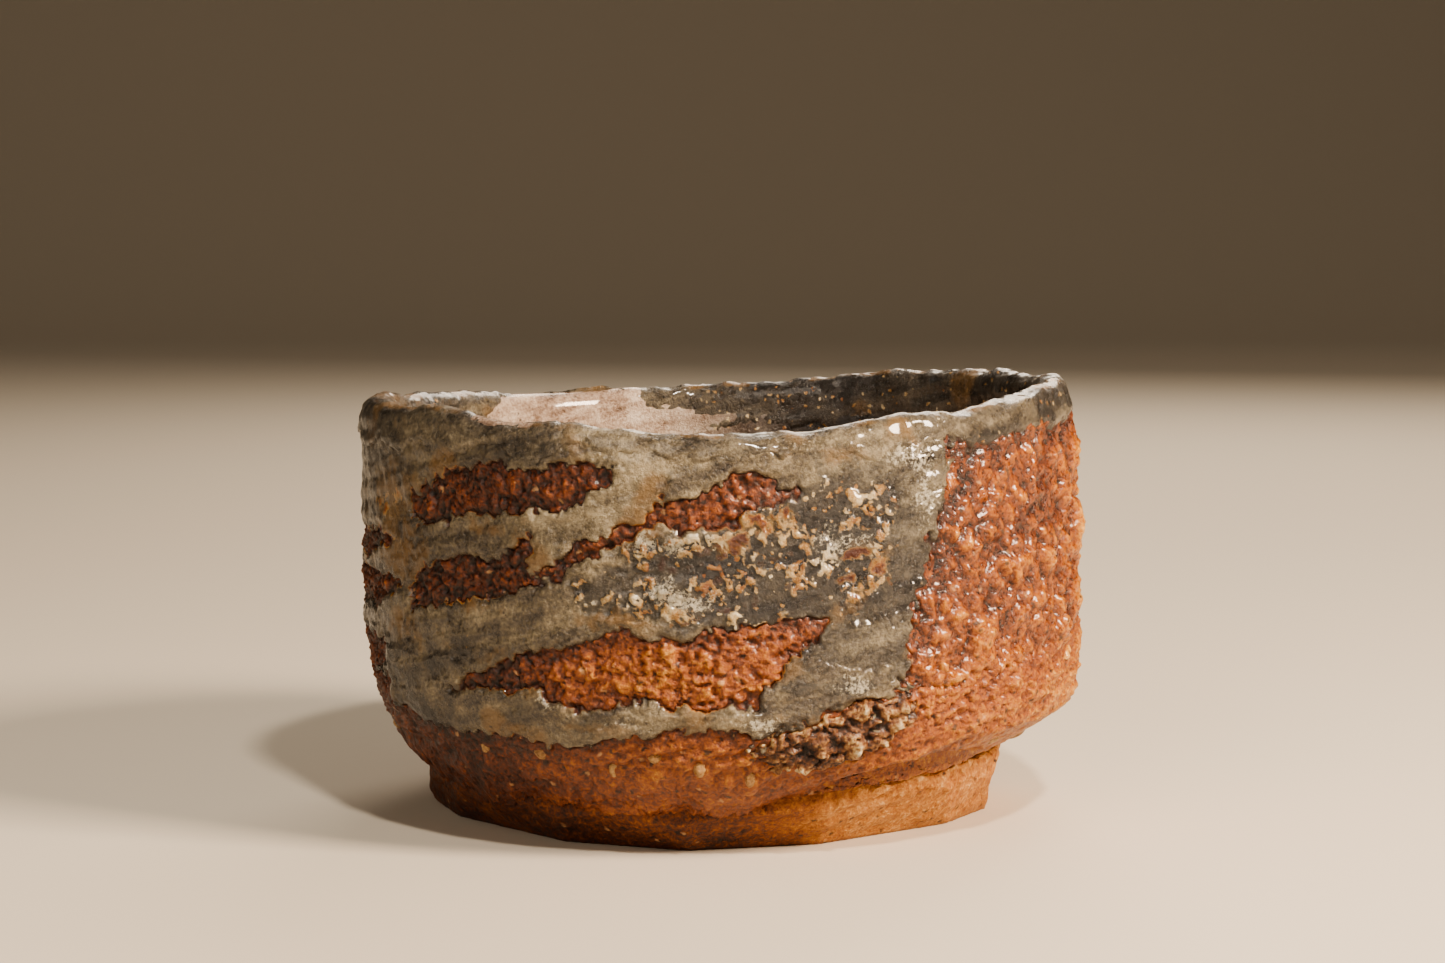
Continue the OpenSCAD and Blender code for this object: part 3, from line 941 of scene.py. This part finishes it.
def make_amber(form):
    piece, front, hidden = closed_skin(form, "amber_skin", wall_faces(form, amber_cover), 3)
    points = points_of(piece)
    depth = amber_cover(points)
    folds = 1.9 * np.abs(noise(points * [1, 1, 0.6], 7, 30)) - 0.5
    grain = 0.5 * beaded(ragged(points), 1.8, 31) + 1.2 * pebbled(points, 3.4, 33) - 0.75
    rise = lumps(points) + folds + grain + 0.15 - 1.4 * (1 - ease(depth, -1.5, 1.5))
    raise_surface(piece, np.where(front, rise, 0))
    v = shares(points)[1]
    # Lighter on its lumps and folds and darker in their creases, partly painted shade and light,
    # and darker next to the glaze's edge
    paint(piece, "tone", 0.35 + 0.1 * noise(points, 12, 81) + 0.12 * (1 - ease(v, 25, 50))
          + 0.42 * grain + 0.2 * folds - 0.2 * ease(glaze_cover(points), -6, 0))
    unroll(piece, hidden)
    finish_piece("amber_glaze", piece, AMBER_GLAZE)


def make_crust(form):
    piece, front, hidden = closed_skin(form, "crust_skin", wall_faces(form, crust_cover), 3)
    points = points_of(piece)
    beads = (0.9 * beaded(ragged(points), 1.6, 34) + 1.5 * pebbled(points, 3.2, 36) - 0.7)
    edge = ease(crust_cover(points), -1.2, 1.2)
    rise = lumps(points) + (0.4 + beads) * edge - 1.4 * (1 - edge)
    raise_surface(piece, np.where(front, rise, 0))
    paint(piece, "tone", 0.3 + 0.2 * noise(points, 6, 82) + 0.34 * beads)
    unroll(piece, hidden)
    finish_piece("ash_crust", piece, CRUST)


def inner_low(points):
    """Percent of the wall's height down to which the lip's glaze runs inside. It stops higher on
    the back-left, where the pale inner glaze that shows stands partly for painted light.
    """
    u = shares(points)[0]
    return 79 + 11 * ease(u, -78, -62) * (1 - ease(u, -40, -5))


def make_lip(form):
    centres, normals = face_places(form)
    within = outward(centres, normals) < INNER
    cover = np.where(within, above(centres, inner_low(centres)), lip_cover(centres))
    piece, front, hidden = closed_skin(form, "lip_skin", (cover > -2.6) & (centres[:, 2] > 45), 0)
    points = points_of(piece)
    facing = read(piece.data.vertices, "normal", 3)
    within = outward(points, facing) < INNER
    cover = np.where(within, above(ragged(points), inner_low(points)), lip_cover(points))
    crest = ease(facing[:, 2], 0.5, 0.95)
    gold = np.maximum(golden(points), 0.9 * crest * ease(noise(points, 6, 83), -0.2, 0.4))
    thin = 0.9 * ease(noise(points, 15, 84), 0, 0.5)
    pale = np.maximum(marked(points, PALE_GLINT_MARKS), 0.4 * ease(noise(points, 7, 87), 0.2, 0.7))
    glazed = np.maximum(glaze_cover(points), cover)
    glazed -= 2.2 * crest * ease(noise(points, 5, 96), 0, 0.5)
    rise, rim, crumb = coat_shape(points, cover, glazed, LIP_THICK, 0.4 * thin, gold, pale)
    rise += crest * (0.4 * noise(points, 5.5, 98) + 0.25 * noise(points, 2.6, 99))
    raise_surface(piece, np.where(front, rise, 0))
    # Painted shade: the lip's inner side is drawn darker towards the right, where the inner wall
    # lies in shade
    thin = np.maximum(thin, 0.8 * within * ease(points[:, 0], -25, 15))
    paint_glaze(piece, rim=rim, crumb=crumb, thin=thin, gold=gold, pale=pale,
                tone=glaze_tone(points))
    unroll(piece, hidden)
    finish_piece("lip_glaze", piece, LIP_GLAZE)


def make_inner(form):
    centres, normals = face_places(form)
    well = (outward(centres, normals) < 0.3) & (centres[:, 2] > FOOT_TOP + 2)
    well &= shares(centres)[1] < inner_low(centres) + 11
    piece, front, hidden = closed_skin(form, "inner_skin", well, 0)
    points = points_of(piece)
    rise = (0.7 + 0.25 * noise(points, 14, 25) + 0.12 * noise(points, 5, 26)
            - 1.5 * ease(shares(points)[1] - inner_low(points), 3, 9))
    raise_surface(piece, np.where(front, rise, 0))
    plain = 0 * points[:, 0]
    # Painted shade, partly the glaze's own browner tone: the inner wall is drawn darker towards
    # the right and higher up, where the light from the right leaves it in shade
    dark = ease(points[:, 0] + 6 * noise(points, 12, 88), -18, 14) * ease(points[:, 2], 28, 48)
    paint_glaze(piece, rim=plain, crumb=plain, thin=dark, gold=plain, pale=plain,
                tone=0.12 * noise(points, 20, 97))
    unroll(piece, hidden, disc_from=points[front][:, 2].min())
    finish_piece("inner_glaze", piece, INNER_GLAZE)


def make_foot():
    piece = merged_copy("foot_ring", "carved_foot")
    apply_modifier(piece, "REMESH", mode="VOXEL", voxel_size=0.55 * MM)
    points = points_of(piece)
    reach = np.hypot(points[:, 0] - FOOT_X, points[:, 1])
    wall = ease(reach, FOOT_R - 14, FOOT_R - 9) * ease(points[:, 2], 0.3, 2)
    upper = ease(points[:, 2] / FOOT_TOP, 0.5, 0.85)
    grain = 0.5 * beaded(points, 1.5, 37) + 0.6 * pebbled(points, 3, 38) - 0.5
    rise = wall * (0.35 * noise(points, 12, 4) + grain * (0.25 + 0.75 * upper)
                   + 0.35 * noise(swept(points), np.array([20, 20, 1.8]), 39))
    raise_surface(piece, rise)
    u = points[:, 0] / BOWL_R * 100
    # Darker to the left and lighter at the front right: partly the flame's colouring and partly
    # painted shade, since the knife-cut chamfer lies in shade on the left
    paint(piece, "tone", 0.22 + 0.46 * ease(u, -5, 45) * front_share(points)
          + 0.3 * grain * (0.3 + 0.7 * upper) - 0.04 * upper + 0.1 * noise(points, 18, 85))
    unroll(piece, np.zeros(len(piece.data.polygons), bool), disc_from=0)
    finish_piece("foot_ring", piece, FOOT_CLAY)


def make_stones():
    piece = merged_copy("feldspar_stones", "feldspar_grains")
    points = points_of(piece)
    radial = points * [1, 1, 0] / np.hypot(points[:, 0], points[:, 1])[:, None]
    sunk = points + (lumps(points) - 1.0 + 0.35 * noise(points, 1.2, 41))[:, None] * radial
    move_points(piece, tucked(sunk))
    paint(piece, "tone", 0.4 + 0.2 * noise(points, 5, 86))
    unroll(piece, np.zeros(len(piece.data.polygons), bool))
    finish_piece("feldspar_stones", piece, FELDSPAR)


FORM = rounded_form(2)
FINE_FORM = rounded_form(3)
make_clay_body(FORM)
make_foot()
# Each brushed coat: node, slot, material, where it lies, thickness in mm and cuts
for node, slot, material, cover, thickness, cuts in (
        ("front_glaze", "ash_glaze", ASH_GLAZE, front_cover, 0.5, 3),
        ("left_glaze", "ash_glaze", ASH_GLAZE, left_cover, 0.5, 2),
        ("back_glaze", "ash_glaze", ASH_GLAZE, back_cover, 0.5, 2),
        ("right_panel_glaze", "dark_glaze", DARK_GLAZE, panel_cover, 0.55, 3),
        ("hip_glaze", "ash_glaze", ASH_GLAZE, hip_cover, 0.6, 3)):
    make_coat(FORM, node, material, cover, thickness, cuts)
make_amber(FORM)
make_crust(FORM)
make_lip(FINE_FORM)
make_inner(FORM)
make_stones()
for form in (FORM, FINE_FORM):
    bpy.data.objects.remove(form)


# ---- floor, light and camera


FLOOR_SIZE = 6          # metres across
SWEEP_HEIGHT = 3
SWEEP_BEND = 1.5
ROOM_COLOUR, ROOM_STRENGTH = "#c8b9a6", 0.13
LIGHT_AIM = (0, 0, 0.04)
# Each lamp: name, place and width in m, power in W, and colour
LAMPS = [("window", (0.6, -0.34, 0.46), 0.2, 13, "#ffe8cf"),
         ("fill", (-0.45, -0.75, 0.55), 0.6, 2.8, "#fff1e0"),
         ("lamp", (0.16, -0.5, 0.62), 0.05, 4, "#fff4e6"),
         ("back", (0.2, 0.8, 0.6), 0.5, 4.5, "#fff1e0")]
LENS, SENSOR_WIDTH = 82.6, 36    # mm
CAMERA_PLACE = (0, -0.565, 0.109)
CAMERA_DIP = math.radians(5.45)  # how far it looks down


def make_floor():
    """A pale sheet that lies level under the bowl and curves up far behind it."""
    deselect()
    bpy.ops.mesh.primitive_plane_add(size=FLOOR_SIZE, location=(0, 0, 0))
    floor = bpy.context.active_object
    floor.name = "floor"
    edit(bpy.ops.mesh.select_all, action="DESELECT")
    for edge in floor.data.edges:
        edge.select = all(floor.data.vertices[at].co.y > FLOOR_SIZE / 2 - 0.1
                          for at in edge.vertices)
    bpy.context.tool_settings.mesh_select_mode = (False, True, False)
    edit(bpy.ops.mesh.extrude_region_move,
         TRANSFORM_OT_translate={"value": (0, 0, SWEEP_HEIGHT)})
    apply_modifier(floor, "BEVEL", width=SWEEP_BEND, segments=24, limit_method="ANGLE")
    bpy.ops.object.shade_smooth()
    paper = start_material("pale_paper_sweep", color=linear("#cfc5b5"), roughness=0.85)[0]
    floor.data.materials.append(paper)


def add_light(name, place, size, power, colour):
    lamp = bpy.data.lights.new(name, "AREA")
    lamp.size = size
    lamp.energy = power
    lamp.color = linear(colour)[:3]
    light = bpy.data.objects.new(name, lamp)
    light.location = place
    look = Vector(LIGHT_AIM) - Vector(place)
    light.rotation_euler = look.to_track_quat("-Z", "Y").to_euler()
    bpy.context.scene.collection.objects.link(light)


def light_room():
    world = bpy.data.worlds.new("room")
    world.use_nodes = True
    glow = world.node_tree.nodes["Background"].inputs
    glow["Color"].default_value = linear(ROOM_COLOUR)
    glow["Strength"].default_value = ROOM_STRENGTH
    bpy.context.scene.world = world
    bpy.context.scene.view_settings.look = "AgX - Medium High Contrast"
    for lamp in LAMPS:
        add_light(*lamp)


def place_camera():
    camera = bpy.data.cameras.new("camera")
    camera.lens = LENS
    camera.sensor_width = SENSOR_WIDTH
    view = bpy.data.objects.new("camera", camera)
    view.location = CAMERA_PLACE
    view.rotation_euler = (math.radians(90) - CAMERA_DIP, 0, 0)
    bpy.context.scene.collection.objects.link(view)
    bpy.context.scene.camera = view


make_floor()
light_room()
place_camera()
